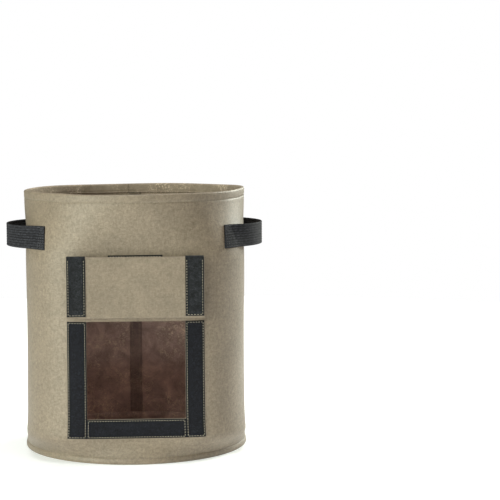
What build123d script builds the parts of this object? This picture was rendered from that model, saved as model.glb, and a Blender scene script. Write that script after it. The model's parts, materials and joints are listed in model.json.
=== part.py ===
"""Fabric grow bag with a harvest window: a felt tub, a fold-up felt flap on hook-and-loop tape, two webbing handles.

Frame: millimetres, +Z up, origin on the ground at the middle of the base, the window faces -Y.
Every sewn-on piece follows the bag's own wall, so it is cut from a layer that runs parallel to the wall.
"""

import os
from math import asin, atan2, cos, degrees, radians, sin

from build123d import *

# ---- the tub -------------------------------------------------------------------------------------
HEIGHT = 350.0
RIM_RADIUS = 150.0
BASE_RADIUS = 149.0
FELT = 2.5                  # wall and base felt
HEM_DEPTH = 13.0            # the rim is turned inwards this far

# The wall between the base and the rim: a flat front that the window's tape holds, round corners and back.
FLAT_HALF = 64.0            # half the width of the flat front
FRONT = 142.0               # the flat front lies at y = -FRONT
CORNER_RADIUS = 83.0
HALF_WIDTH = FLAT_HALF + CORNER_RADIUS
BACK_RADIUS = HALF_WIDTH
BACK_CENTRE = -16.0         # y of the round back's centre where the back is drawn in most
CORNER_Y = -FRONT + CORNER_RADIUS

# Heights where the wall changes between round and flat-fronted.
BASE_ROUND_TOP = 6.0
FLAT_BOTTOM = 32.0
FLAT_TOP = 273.0
RIM_ROUND_BOTTOM = 337.0

# The back is drawn in gradually: (height, y of its centre) at the flat front's ends and in between.
BACK_CENTRES = [(FLAT_BOTTOM, -5.0), (90.0, BACK_CENTRE), (205.0, BACK_CENTRE), (FLAT_TOP, -7.0)]

# ---- tapes, window and flap ------------------------------------------------------------------------
TAPE = 25.0                 # width of every hook or loop tape
TAPE_THICK = 1.2
WINDOW_BOTTOM = 58.0
WINDOW_TOP = 186.0
FRAME_BOTTOM = WINDOW_BOTTOM - TAPE
FRAME_OUTER = FLAT_HALF + CORNER_RADIUS * sin(TAPE / CORNER_RADIUS)

PATCH_HALF = 35.0
PATCH_TOP = 272.0

FLAP_FELT = 2.0
FLAP_HALF = FRAME_OUTER
GAP = 0.3                   # clear space between layers that only touch
FLAP_TOP = 203.5            # top edge of the flap's sewn root
ROOT_BOTTOM = 193.5
UPPER_LENGTH = 75.0
MIDDLE_LENGTH = 41.5
LOWER_LENGTH = 41.3
HEM_TAPE_INSET = 1.5        # from the flap's free edge to its bottom tape
UPPER_TURN = 1.2            # from the plates' edges to the axis of the fold at the top
LOWER_TURN = 0.6            # the same at the fold behind

# ---- handles ---------------------------------------------------------------------------------------
WEBBING = 30.0
WEBBING_THICK = 1.8
HANDLE_Z = 292.0
HANDLE_Y = -20.0            # middle of the loop, a little forward of the bag's axis
HANDLE_TIP_X = 117.0        # where the sewn end stops
HANDLE_OUT = 173.0          # how far the loop reaches from the bag's axis
HANDLE_ROOT_X = 136.0       # where the webbing leaves the wall
HANDLE_ROOT_HALF = 71.5     # half the distance between a handle's two roots
LOOP_CUT_HALF = 38.0        # the loop's swinging stretch lies inside +-this of its middle
LOOP_GAP = 0.5

# ---- thread ----------------------------------------------------------------------------------------
THREAD = 0.8                # width of a seam's thread
THREAD_PROUD = 0.4
SEAM_INSET = 2.5            # from a tape's edge to its seam
HEM_SEAM = HEIGHT - 10.8
BASE_SEAM = 8.0
FLAP_SEAM = FLAP_TOP - 4.5

# ---- seam tapes inside -------------------------------------------------------------------------------
SEAM_TAPE_THICK = 1.5
BACK_TAPE_HALF = 9.0
BASE_TAPE_TOP = 14.0

BIG = 400.0


def polar(radius, angle):
    """A point at angle degrees from the front, going towards +X."""
    return (radius * sin(radians(angle)), -radius * cos(radians(angle)))


def round_section(radius, offset):
    """The round section, in six arcs that match the flat-fronted section's six edges."""
    corners = [
        degrees(atan2(FLAT_HALF, FRONT)),
        degrees(atan2(HALF_WIDTH, -CORNER_Y)),
        degrees(atan2(HALF_WIDTH, -BACK_CENTRE)),
    ]
    stops = [-corners[0], corners[0], corners[1], corners[2]]
    stops += [360 - corners[2], 360 - corners[1], 360 - corners[0]]
    r = radius + offset
    return [
        ThreePointArc(polar(r, a), polar(r, (a + b) / 2), polar(r, b))
        for a, b in zip(stops, stops[1:])
    ]


def flat_section(offset, back_centre):
    """The flat-fronted section, moved outwards by offset: front, corner, side, back, side, corner."""
    r = CORNER_RADIUS + offset
    front = -FRONT - offset
    side = HALF_WIDTH + offset
    half_turn = r * sin(radians(45))
    corner_mid = (FLAT_HALF + half_turn, CORNER_Y - half_turn)
    return [
        Line((-FLAT_HALF, front), (FLAT_HALF, front)),
        ThreePointArc((FLAT_HALF, front), corner_mid, (side, CORNER_Y)),
        Line((side, CORNER_Y), (side, back_centre)),
        ThreePointArc((side, back_centre), (0, back_centre + BACK_RADIUS + offset), (-side, back_centre)),
        Line((-side, back_centre), (-side, CORNER_Y)),
        ThreePointArc((-side, CORNER_Y), (-corner_mid[0], corner_mid[1]), (-FLAT_HALF, front)),
    ]


def face_at(edges, z):
    """The closed outline as a face at height z."""
    return Pos(0, 0, z) * Face(Wire(edges))


def tub(offset):
    """The solid inside the wall's surface, moved outwards by offset."""
    base = face_at(round_section(BASE_RADIUS, offset), 0)
    base_top = face_at(round_section(BASE_RADIUS, offset), BASE_ROUND_TOP)
    flats = [face_at(flat_section(offset, centre), z) for z, centre in BACK_CENTRES]
    rim = face_at(round_section(RIM_RADIUS, offset), RIM_ROUND_BOTTOM)
    solid = extrude(base, BASE_ROUND_TOP, dir=(0, 0, 1))
    solid += loft([base_top, *flats, rim], ruled=True)
    solid += extrude(rim, HEIGHT - RIM_ROUND_BOTTOM, dir=(0, 0, 1))
    return solid


tubs = {}


def layer(inner, outer):
    """The layer between two offsets from the wall's outer surface."""
    for offset in (inner, outer):
        if offset not in tubs:
            tubs[offset] = tub(offset)
    return tubs[outer] - tubs[inner]


def block(x, y, z):
    """A box from its low and high values along each axis."""
    size = [high - low for low, high in (x, y, z)]
    middle = [(high + low) / 2 for low, high in (x, y, z)]
    return Pos(*middle) * Box(*size)


def front_block(x, z):
    """A box over the front half of the bag."""
    return block(x, (-BIG, -50.0), z)


def seam_ring(x, z, width=THREAD):
    """A box on the front with its middle taken out, for a seam that runs round a rectangle."""
    inner_x = (x[0] + width, x[1] - width)
    inner_z = (z[0] + width, z[1] - width)
    return front_block(x, z) - block(inner_x, (-BIG - 10, -40.0), inner_z)


def inset(x, z, by):
    """The rectangle x, z with every side moved inwards."""
    return (x[0] + by, x[1] - by), (z[0] + by, z[1] - by)


parts = {}

# ---- the felt tub ------------------------------------------------------------------------------------
shell = layer(-FELT, 0.0)
window = front_block((-FLAT_HALF, FLAT_HALF), (WINDOW_BOTTOM, WINDOW_TOP))
parts["wall_panel"] = shell - window
parts["base_panel"] = extrude(face_at(round_section(BASE_RADIUS, -FELT), 0), FELT, dir=(0, 0, 1))
rim_band = block((-BIG, BIG), (-BIG, BIG), (HEIGHT - HEM_DEPTH, HEIGHT))
parts["rim_hem"] = layer(-2 * FELT, -FELT) & rim_band
tape_layer = layer(-FELT - SEAM_TAPE_THICK, -FELT)
parts["base_seam_tape"] = tape_layer & block((-BIG, BIG), (-BIG, BIG), (FELT, BASE_TAPE_TOP))
back_tape_z = (BASE_TAPE_TOP, HEIGHT - HEM_DEPTH)
parts["back_seam_tape"] = tape_layer & block((-BACK_TAPE_HALF, BACK_TAPE_HALF), (50.0, BIG), back_tape_z)

# ---- tapes on the wall ---------------------------------------------------------------------------
tape = layer(0.0, TAPE_THICK)
tape_thread = layer(TAPE_THICK, TAPE_THICK + THREAD_PROUD)
frame_z = (FRAME_BOTTOM, WINDOW_TOP)
frame_tapes = {
    "frame_tape_left": ((-FRAME_OUTER, -FLAT_HALF), frame_z),
    "frame_tape_right": ((FLAT_HALF, FRAME_OUTER), frame_z),
    "frame_tape_bottom": ((-FLAT_HALF, FLAT_HALF), (FRAME_BOTTOM, WINDOW_BOTTOM)),
}
frame_seams = []
for name, (x, z) in frame_tapes.items():
    parts[name] = tape & front_block(x, z)
    frame_seams.append(tape_thread & seam_ring(*inset(x, z, SEAM_INSET)))
parts["frame_stitching"] = Compound(children=[s for seam in frame_seams for s in seam.solids()])

patch_x, patch_z = (-PATCH_HALF, PATCH_HALF), (PATCH_TOP - TAPE, PATCH_TOP)
parts["hold_open_patch"] = tape & front_block(patch_x, patch_z)
patch_seam = tape_thread & seam_ring(*inset(patch_x, patch_z, 1.5))
parts["patch_stitching"] = patch_seam

# ---- the flap -----------------------------------------------------------------------------------------
# Distances outwards from the flat front, at rest with the flap folded up: lower, middle and upper felt.
LOWER_FELT_AT = TAPE_THICK + THREAD_PROUD + GAP
LOWER_TAPE_AT = LOWER_FELT_AT + FLAP_FELT
MIDDLE_TAPE_AT = LOWER_TAPE_AT + TAPE_THICK + 2 * THREAD_PROUD + GAP
MIDDLE_FELT_AT = MIDDLE_TAPE_AT + TAPE_THICK
UPPER_FELT_AT = MIDDLE_FELT_AT + FLAP_FELT + GAP
UPPER_TAPE_AT = UPPER_FELT_AT + FLAP_FELT
# Closed, the upper felt's inner face lies this far out, over both tapes and their thread.
CLOSED_FELT_AT = 2 * TAPE_THICK + 2 * THREAD_PROUD + GAP


def plate(x, at, thick, z):
    """A flat plate in front of the flat front, from at to at + thick outwards."""
    return block(x, (-FRONT - at - thick, -FRONT - at), z)


felt_x = (-FLAP_HALF, FLAP_HALF)
parts["flap_root"] = layer(0.0, FLAP_FELT) & front_block(felt_x, (ROOT_BOTTOM, FLAP_TOP))
root_seam_z = (FLAP_SEAM - THREAD / 2, FLAP_SEAM + THREAD / 2)
root_seam_x = (felt_x[0] + 3, felt_x[1] - 3)
parts["flap_seam_stitching"] = layer(FLAP_FELT, FLAP_FELT + THREAD_PROUD) & front_block(root_seam_x, root_seam_z)

upper_z = (ROOT_BOTTOM, ROOT_BOTTOM + UPPER_LENGTH)
middle_z = (upper_z[1] - MIDDLE_LENGTH, upper_z[1])
lower_z = (middle_z[0], middle_z[0] + LOWER_LENGTH)
hem_tape_z = (lower_z[1] - HEM_TAPE_INSET - TAPE, lower_z[1] - HEM_TAPE_INSET)
sections = {
    "upper": (upper_z, UPPER_FELT_AT, UPPER_TAPE_AT, UPPER_TAPE_AT + TAPE_THICK),
    "middle": (middle_z, MIDDLE_FELT_AT, MIDDLE_TAPE_AT, MIDDLE_TAPE_AT - THREAD_PROUD),
    "lower": (lower_z, LOWER_FELT_AT, LOWER_TAPE_AT, LOWER_TAPE_AT + TAPE_THICK),
}
for name, (z, felt_at, tape_at, thread_at) in sections.items():
    parts[f"flap_{name}_felt"] = plate(felt_x, felt_at, FLAP_FELT, z)
    seams = []
    for side, sign in (("left", -1), ("right", 1)):
        edges = sorted((sign * FLAT_HALF, sign * FLAP_HALF))
        parts[f"flap_{name}_tape_{side}"] = plate(edges, tape_at, TAPE_THICK, z)
        for seam_x in (edges[0] + SEAM_INSET, edges[1] - SEAM_INSET):
            thread_x = (seam_x - THREAD / 2, seam_x + THREAD / 2)
            seams.append(plate(thread_x, thread_at, THREAD_PROUD, z))
    if name == "lower":
        parts["flap_hem_tape"] = plate((-FLAT_HALF, FLAT_HALF), tape_at, TAPE_THICK, hem_tape_z)
        for seam_z in (hem_tape_z[0] + SEAM_INSET, hem_tape_z[1] - SEAM_INSET):
            thread_x = (-FLAT_HALF + 1, FLAT_HALF - 1)
            seams.append(plate(thread_x, thread_at, THREAD_PROUD, (seam_z - THREAD / 2, seam_z + THREAD / 2)))
    parts[f"flap_{name}_stitching"] = Compound(children=seams)

# Fold axes, as (distance outwards, height). Each is midway between the plates that it brings into line.
root_axis = ((UPPER_FELT_AT + CLOSED_FELT_AT + FLAP_FELT) / 2, ROOT_BOTTOM - GAP)
upper_axis = ((MIDDLE_FELT_AT + UPPER_FELT_AT + FLAP_FELT) / 2, upper_z[1] + UPPER_TURN)
lower_axis = ((LOWER_FELT_AT + MIDDLE_FELT_AT + FLAP_FELT) / 2, middle_z[0] - LOWER_TURN)

# ---- the handles --------------------------------------------------------------------------------------
handle_z = (HANDLE_Z - WEBBING / 2, HANDLE_Z + WEBBING / 2)
webbing = layer(0.0, WEBBING_THICK)
end_thread = layer(WEBBING_THICK, WEBBING_THICK + THREAD_PROUD)
# The free loop is an arc through its two roots and its outermost point, seen from above.
LOOP_SAGITTA = HANDLE_OUT - WEBBING_THICK - HANDLE_ROOT_X
LOOP_RADIUS = (HANDLE_ROOT_HALF**2 + LOOP_SAGITTA**2) / (2 * LOOP_SAGITTA)
LOOP_CENTRE_X = HANDLE_OUT - WEBBING_THICK - LOOP_RADIUS


def loop_ring(side):
    """The whole ring of webbing that the loop is cut from."""
    ring = Cylinder(LOOP_RADIUS + WEBBING_THICK, WEBBING) - Cylinder(LOOP_RADIUS, WEBBING + 2)
    return Pos(side * LOOP_CENTRE_X, HANDLE_Y, HANDLE_Z) * ring


def sorted_pair(a, b):
    """Two values, low first."""
    return (a, b) if a < b else (b, a)


for side_name, side in (("left", -1), ("right", 1)):
    ring = loop_ring(side)
    loop_x = sorted_pair(side * LOOP_CENTRE_X, side * BIG)
    loop_y = (HANDLE_Y - LOOP_CUT_HALF, HANDLE_Y + LOOP_CUT_HALF)
    parts[f"handle_{side_name}_loop"] = ring & block(loop_x, loop_y, handle_z)
    seams = []
    for end_name, end in (("front", -1), ("rear", 1)):
        leg_y = sorted_pair(HANDLE_Y + end * (LOOP_CUT_HALF + LOOP_GAP), end * BIG)
        leg = (ring & block(loop_x, leg_y, handle_z)) - tubs[WEBBING_THICK]
        sewn_x = sorted_pair(side * HANDLE_TIP_X, side * BIG)
        sewn_y = sorted_pair(HANDLE_Y + end * (HANDLE_ROOT_HALF - 4), end * BIG)
        sewn = webbing & block(sewn_x, sewn_y, handle_z)
        parts[f"handle_{side_name}_{end_name}_end"] = sewn + leg
        seam_x = sorted_pair(side * (HANDLE_TIP_X + 2.5), side * (HANDLE_ROOT_X - 8))
        outline = block(seam_x, sewn_y, (handle_z[0] + 3, handle_z[1] - 3))
        hollow_x = (seam_x[0] + THREAD, seam_x[1] - THREAD)
        hollow = block(hollow_x, sewn_y, (handle_z[0] + 3 + THREAD, handle_z[1] - 3 - THREAD))
        seams += (end_thread & (outline - hollow)).solids()
    parts[f"handle_{side_name}_stitching"] = Compound(children=seams)

# ---- seams of the tub -----------------------------------------------------------------------------------
thread = layer(0.0, THREAD_PROUD)


def level_seam(z):
    """A seam all round the bag at one height."""
    return thread & block((-BIG, BIG), (-BIG, BIG), (z - THREAD / 2, z + THREAD / 2))


parts["rim_stitching"] = level_seam(HEM_SEAM)
parts["base_stitching"] = level_seam(BASE_SEAM)
back_seams = []
for x in (-5.0, 5.0):
    line = block((x - THREAD / 2, x + THREAD / 2), (50.0, BIG), (BASE_SEAM + 3, HEM_SEAM - 3))
    back_seams += (thread & line).solids()
parts["back_seam_stitching"] = Compound(children=back_seams)

os.makedirs("parts", exist_ok=True)
for name, shape in parts.items():
    solids = shape.solids()
    whole = solids[0] if len(solids) == 1 else Compound(children=list(solids))
    export_step(whole, f"parts/{name}.step")

for name, (out, z) in (("root", root_axis), ("upper", upper_axis), ("lower", lower_axis)):
    print(f"flap {name} fold axis: y {-FRONT - out:.3f}  z {z:.3f}")
print(f"loop radius {LOOP_RADIUS:.2f}, swing axis x {HANDLE_ROOT_X}")
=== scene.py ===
"""Looks for the fabric grow bag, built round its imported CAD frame.

Lengths in the helpers are millimetres in the frame's own axes, and a mesh is scaled to metres as it is made.
The bag stands on z = 0, and its window faces -Y. A place t on the wall runs once round it, from 0 at the
front's middle through 0.25 near +X to 0.5 at the back seam.
"""

import json
import math

import bpy
import numpy as np
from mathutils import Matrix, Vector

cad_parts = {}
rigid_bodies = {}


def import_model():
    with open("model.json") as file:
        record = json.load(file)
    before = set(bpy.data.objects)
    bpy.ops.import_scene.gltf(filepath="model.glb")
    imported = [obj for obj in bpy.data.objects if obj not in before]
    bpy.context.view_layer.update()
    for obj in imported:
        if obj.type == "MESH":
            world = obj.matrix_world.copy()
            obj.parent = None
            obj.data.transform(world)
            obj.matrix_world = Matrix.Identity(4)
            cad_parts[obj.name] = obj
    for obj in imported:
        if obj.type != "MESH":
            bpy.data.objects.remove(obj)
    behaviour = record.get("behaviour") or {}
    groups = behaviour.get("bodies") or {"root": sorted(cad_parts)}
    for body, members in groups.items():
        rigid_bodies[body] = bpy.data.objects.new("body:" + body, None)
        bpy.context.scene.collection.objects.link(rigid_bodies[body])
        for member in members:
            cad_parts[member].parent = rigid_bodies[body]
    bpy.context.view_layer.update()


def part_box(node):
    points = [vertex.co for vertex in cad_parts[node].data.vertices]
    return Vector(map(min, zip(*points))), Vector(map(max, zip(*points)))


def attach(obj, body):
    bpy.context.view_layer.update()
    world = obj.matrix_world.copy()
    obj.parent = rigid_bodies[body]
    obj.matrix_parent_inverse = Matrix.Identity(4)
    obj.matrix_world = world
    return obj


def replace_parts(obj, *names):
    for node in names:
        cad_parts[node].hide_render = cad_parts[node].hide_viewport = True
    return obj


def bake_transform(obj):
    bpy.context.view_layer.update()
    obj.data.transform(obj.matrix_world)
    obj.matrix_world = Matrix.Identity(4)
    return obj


for leftover in list(bpy.data.objects):
    bpy.data.objects.remove(leftover, do_unlink=True)
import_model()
MM = 0.001


def span(node):
    """The CAD node's box in millimetres, as (lowest, highest) along x, y and z."""
    low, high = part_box(node)
    return [(a / MM, b / MM) for a, b in zip(low, high)]


# ---- sizes read from the frame -------------------------
WALL = span("wall_panel")
HEIGHT = WALL[2][1]
RIM_RADIUS = WALL[0][1]
FELT = span("base_panel")[2][1]
FLAT_HALF, FRAME_OUTER = span("frame_tape_right")[0]
FRAME_BOTTOM, WINDOW_TOP = span("frame_tape_right")[2]
WINDOW_BOTTOM = span("frame_tape_bottom")[2][1]
FRONT = -span("frame_tape_bottom")[1][1]
TAPE_THICK = -FRONT - span("frame_tape_bottom")[1][0]
PATCH = span("hold_open_patch")
HEM_BOTTOM = span("rim_hem")[2][0]
BASE_TAPE_TOP = span("base_seam_tape")[2][1]
BACK_TAPE_HALF = span("back_seam_tape")[0][1]
RIM_SEAM = sum(span("rim_stitching")[2]) / 2
BASE_SEAM = sum(span("base_stitching")[2]) / 2
ROOT = span("flap_root")[2]
FLAP_SEAM = sum(span("flap_seam_stitching")[2]) / 2
FLAP_HALF = span("flap_upper_felt")[0][1]
UPPER = span("flap_upper_felt")
MIDDLE = span("flap_middle_felt")
LOWER = span("flap_lower_felt")
HEM_TAPE = span("flap_hem_tape")[2]
HANDLE = span("handle_right_loop")
HANDLE_TIP = span("handle_right_front_end")[0][0]

# ---- sizes that only the looks have --------------------
ROUND = 936
BACK_SEAM_OUT = 5.0
TAPE_SEAM_IN = 1.9

# ---- the wall's shape ----------------------------------
BODY_RADIUS = 147.0
CORNER = BODY_RADIUS - FLAT_HALF
BACK_CENTRE = -16.0
CORNER_Y = -FRONT + CORNER
TABLE = 2880


def smoothstep(a, b, value):
    """0 below a, 1 above b, smooth between."""
    share = np.clip((np.asarray(value, float) - a) / (b - a), 0, 1)
    return share * share * (3 - 2 * share)


def evenly(points, count):
    """count points evenly spaced round a closed line, from its first point."""
    closed = np.vstack([points, points[:1]])
    along = np.concatenate([[0], np.cumsum(np.linalg.norm(np.diff(closed, axis=0), axis=1))])
    places = np.arange(count) * along[-1] / count
    return np.stack([np.interp(places, along, closed[:, k]) for k in (0, 1)], axis=1)


def flat_outline():
    """The flat-fronted section, from the front's middle towards +X, its corners eased into one another."""
    quarter = np.radians(np.linspace(0, 90, 60))
    corner_x, corner_y = FLAT_HALF + CORNER * np.sin(quarter), CORNER_Y - CORNER * np.cos(quarter)
    corner = np.stack([corner_x, corner_y], axis=1)
    back = np.radians(np.linspace(0, 180, 160))
    round_back = np.stack([BODY_RADIUS * np.cos(back), BACK_CENTRE + BODY_RADIUS * np.sin(back)], axis=1)
    other = corner[::-1] * [-1, 1]
    line = evenly(np.vstack([[[0, -FRONT]], corner, round_back, other]), TABLE)
    reach = np.arange(-120, 121)
    weight = np.exp(-((reach / 32.0) ** 2) / 2)
    weight /= weight.sum()
    eased = sum(w * np.roll(line, -k, axis=0) for k, w in zip(reach, weight))
    return evenly(eased, TABLE)


OUTLINE = flat_outline()
PLACES = np.arange(TABLE + 1) / TABLE
OUTLINE_X = np.append(OUTLINE[:, 0], OUTLINE[0, 0])
OUTLINE_Y = np.append(OUTLINE[:, 1], OUTLINE[0, 1])


def radius_at(z):
    """The round section's radius at each height."""
    low = [(0, 150.4), (1.5, 151.3), (4, 151.4), (6.4, 150.8), (BASE_SEAM, 149.4), (9.6, 150.0), (15, 149.3)]
    middle = [(25, 148.2), (36, 147.2), (55, 146.2), (110, 145.5), (200, 145.3)]
    high = [(270, 145.7), (300, 147.3), (325, 149.2), (HEIGHT, RIM_RADIUS)]
    heights, radii = zip(*low, *middle, *high)
    return np.interp(z, heights, radii)


def outline_at(t, z):
    """The wall's outer line at place t and height z, with no drape."""
    t = np.mod(t, 1.0)
    turn = 2 * np.pi * t
    flat = smoothstep(4, FRAME_BOTTOM, z) * (1 - smoothstep(262, 346, z))
    drawn_in = smoothstep(10, 100, z) * (1 - smoothstep(195, 330, z))
    scale = radius_at(z) / BODY_RADIUS
    ring_x, ring_y = BODY_RADIUS * np.sin(turn), -BODY_RADIUS * np.cos(turn)
    flat_x, flat_y = np.interp(t, PLACES, OUTLINE_X), np.interp(t, PLACES, OUTLINE_Y)
    behind = smoothstep(CORNER_Y, BACK_CENTRE + 30, flat_y)
    flat_y = flat_y - BACK_CENTRE * behind * (1 - drawn_in)
    return scale * ((1 - flat) * ring_x + flat * flat_x), scale * (1 - flat) * ring_y + flat * flat_y


def drape(t, z):
    """How far the felt stands out from its plain shape: slow waves, less over the flat front."""
    turn = 2 * np.pi * np.asarray(t, float)
    away = np.abs(np.mod(np.asarray(t, float) + 0.5, 1.0) - 0.5)
    loose = 0.04 + 0.96 * smoothstep(0.1, 0.16, away)
    wave = 0.9 * np.sin(3 * turn + 2.7) * np.sin(np.pi * z / HEIGHT)
    wave = wave + 0.45 * np.sin(7 * turn + z / 55.0 + 1.1) + 0.25 * np.sin(12 * turn - z / 33.0)
    return loose * wave * smoothstep(0, 40, z)


def groove(z):
    """The dip that the rim's seam pulls into the wall's outer face."""
    return -0.55 * np.exp(-(((z - RIM_SEAM) / 1.1) ** 2))


def surface(t, z, out=0.0):
    """Points on the wall at distance out from its outer face: (..., 3) in millimetres."""
    t, z, out = np.broadcast_arrays(np.asarray(t, float), np.asarray(z, float), np.asarray(out, float))
    x, y = outline_at(t, z)
    ax, ay = outline_at(t - 0.0015, z)
    bx, by = outline_at(t + 0.0015, z)
    tx, ty = bx - ax, by - ay
    size = np.hypot(tx, ty)
    stand = out + drape(t, z)
    uneven = 2.3 * np.maximum(0, np.sin(2 * np.pi * t)) ** 2 + 0.4 * np.sin(10 * np.pi * t)
    rise = (z / HEIGHT) ** 5 * uneven
    return np.stack([x + ty / size * stand, y - tx / size * stand, z + rise], axis=-1)


FRONT_TABLE = np.linspace(-0.2, 0.2, 1601)
FRONT_X = outline_at(FRONT_TABLE, 120.0)[0]


def place_of(x):
    """The place t where the front of the wall has this x."""
    return np.interp(x, FRONT_X, FRONT_TABLE)


# ---- meshes --------------------------------------------
def make(name, points, faces, materials, kinds=None, sharp=38):
    """A smooth mesh object from points in millimetres. kinds gives each face's material."""
    mesh = bpy.data.meshes.new(name)
    mesh.from_pydata((np.asarray(points, float).reshape(-1, 3) * MM).tolist(), [], [list(f) for f in faces])
    for material in materials:
        mesh.materials.append(material)
    if kinds is not None:
        mesh.polygons.foreach_set("material_index", np.asarray(kinds, np.int32))
    mesh.polygons.foreach_set("use_smooth", np.ones(len(mesh.polygons), bool))
    mesh.set_sharp_from_angle(angle=math.radians(sharp))
    mesh.validate()
    mesh.update()
    made = bpy.data.objects.new(name, mesh)
    bpy.context.collection.objects.link(made)
    return made


def shell(name, outer, inner, materials, keep=None, wrap=False, sharp=38):
    """A closed sheet between two grids of points (n, m, 3). wrap joins its first row to its last.

    Faces on the outer grid take the first material, those on the inner grid the second, and the cut edges the
    third. keep says which cells are there.
    """
    n, m = outer.shape[:2]
    rows = n if wrap else n - 1
    if keep is None:
        keep = np.ones((rows, m - 1), bool)

    def at(i, j, side):
        return side * n * m + (i % n) * m + j

    faces, kinds = [], []
    for i in range(rows):
        for j in range(m - 1):
            if not keep[i, j]:
                continue
            faces.append((at(i, j, 0), at(i + 1, j, 0), at(i + 1, j + 1, 0), at(i, j + 1, 0)))
            faces.append((at(i, j, 1), at(i, j + 1, 1), at(i + 1, j + 1, 1), at(i + 1, j, 1)))
            kinds += [0, 1]
            before = keep[(i - 1) % rows, j] if wrap or i > 0 else False
            after = keep[(i + 1) % rows, j] if wrap or i < rows - 1 else False
            below = keep[i, j - 1] if j > 0 else False
            above = keep[i, j + 1] if j < m - 2 else False
            for there, a, b in (
                (before, (i, j + 1), (i, j)),
                (after, (i + 1, j), (i + 1, j + 1)),
                (below, (i, j), (i + 1, j)),
                (above, (i + 1, j + 1), (i, j + 1)),
            ):
                if not there:
                    faces.append((at(*b, 0), at(*a, 0), at(*a, 1), at(*b, 1)))
                    kinds.append(2)
    used = np.unique([v for f in faces for v in f])
    renumber = np.zeros(2 * n * m, int)
    renumber[used] = np.arange(len(used))
    points = np.concatenate([outer.reshape(-1, 3), inner.reshape(-1, 3)])[used]
    return make(name, points, [[int(renumber[v]) for v in f] for f in faces], materials, kinds, sharp)


def ring_sweep(name, profile, count, materials, t0=0.0, t1=1.0):
    """A closed profile of (out, z) points carried along the wall from place t0 to t1."""
    profile = np.asarray(profile, float)
    whole = abs(t1 - t0) >= 1.0
    places = np.linspace(t0, t1, count + 1)[: count if whole else count + 1]
    grid = surface(places[:, None], profile[None, :, 1], profile[None, :, 0])
    n, m = grid.shape[:2]
    faces = []
    for i in range(n if whole else n - 1):
        for j in range(m):
            k = (j + 1) % m
            faces.append((i * m + j, ((i + 1) % n) * m + j, ((i + 1) % n) * m + k, i * m + k))
    if not whole:
        faces.append(tuple(range(m - 1, -1, -1)))
        faces.append(tuple((n - 1) * m + j for j in range(m)))
    return make(name, grid, faces, materials)


def steps(low, high, size, extra=()):
    """Evenly spaced values from low to high, about size apart, with extra ones put in."""
    count = max(1, int(round((high - low) / size)))
    values = np.concatenate([np.linspace(low, high, count + 1), np.asarray(extra, float)])
    values = np.unique(np.round(values[(values >= low - 1e-6) & (values <= high + 1e-6)], 4))
    fixed = set(np.round(np.asarray([low, high, *extra], float), 4))
    kept = [values[0]]
    for value in values[1:]:
        if value - kept[-1] < 0.12 * size and value not in fixed:
            continue
        kept.append(value)
    return np.array(kept)


def with_edges(low, high, size, edge=1.0):
    """Steps with extra ones close to both ends, for a rounded edge."""
    near = [low + edge * f for f in (0.12, 0.35, 0.7, 1.0)]
    far = [high - edge * f for f in (0.12, 0.35, 0.7, 1.0)]
    return steps(low, high, size, near + far)


def crown(u, v, edge=1.0):
    """1 inside a rectangle of places u by v, easing down to 0 at its edges, for a tape's rounded border."""
    du = np.minimum(u - u.min(), u.max() - u)[:, None]
    dv = np.minimum(v - v.min(), v.max() - v)[None, :]
    share = np.clip(np.minimum(du, dv) / edge, 0, 1)
    return np.sqrt(1 - (1 - share) ** 2)


def stitches(name, runs, material, pitch=3.4, length=2.0, width=0.55, proud=0.3):
    """Thread along each run, a pair of arrays (points, ways out of the cloth), as separate stitches."""
    rings = np.array([-0.5, -0.42, -0.22, 0.0, 0.22, 0.42, 0.5])
    heights = np.array([-0.45, -0.05, 0.72, 1.0, 0.72, -0.05, -0.45]) * proud
    widths = np.array([0.55, 0.85, 1.0, 1.0, 1.0, 0.85, 0.55]) * width / 2
    around = np.radians(np.arange(6) * 60.0 + 30)
    points, faces = [], []
    for line, outward in runs:
        along = np.concatenate([[0], np.cumsum(np.linalg.norm(np.diff(line, axis=0), axis=1))])
        count = max(1, int(along[-1] / pitch))
        centres = (np.arange(count) + 0.5) * along[-1] / count
        for k, centre in enumerate(centres):
            places = centre + rings * length
            spot = np.stack([np.interp(places, along, line[:, a]) for a in range(3)], axis=1)
            up = np.array([np.interp(centre, along, outward[:, a]) for a in range(3)])
            up /= np.linalg.norm(up)
            ahead = spot[-1] - spot[0]
            ahead /= np.linalg.norm(ahead)
            side = np.cross(ahead, up)
            side /= np.linalg.norm(side)
            skew = 0.12 * math.sin(12.9898 * (k + 1)) * width
            start = len(points)
            for r in range(len(rings)):
                middle = spot[r] + up * heights[r] + side * skew * rings[r] * 2
                for angle in around:
                    spoke = side * math.cos(angle) + up * 0.7 * math.sin(angle)
                    points.append(middle + spoke * widths[r])
            for r in range(len(rings) - 1):
                for c in range(6):
                    d = (c + 1) % 6
                    a = start + r * 6
                    faces.append((a + c, a + d, a + 6 + d, a + 6 + c))
            faces.append(tuple(start + c for c in range(5, -1, -1)))
            faces.append(tuple(start + (len(rings) - 1) * 6 + c for c in range(6)))
    return make(name, np.array(points), faces, [material], sharp=60)


def wall_run(t, z, out, side=1):
    """A run for stitches() on the wall, out from its outer face. side is -1 for thread that faces inwards."""
    t, z = np.broadcast_arrays(np.asarray(t, float), np.asarray(z, float))
    here = surface(t, z, out)
    return here, surface(t, z, out + side) - here


# ---- materials -----------------------------------------
def principled(name, roughness, sheen=0.0, sheen_roughness=0.5, specular=0.3):
    """A material with one Principled shader, and helpers to wire it."""
    material = bpy.data.materials.new(name)
    material.use_nodes = True
    tree = material.node_tree
    shader = tree.nodes["Principled BSDF"]
    shader.inputs["Roughness"].default_value = roughness
    shader.inputs["Specular IOR Level"].default_value = specular
    shader.inputs["Sheen Weight"].default_value = sheen
    shader.inputs["Sheen Roughness"].default_value = sheen_roughness
    return material, tree, shader


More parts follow.
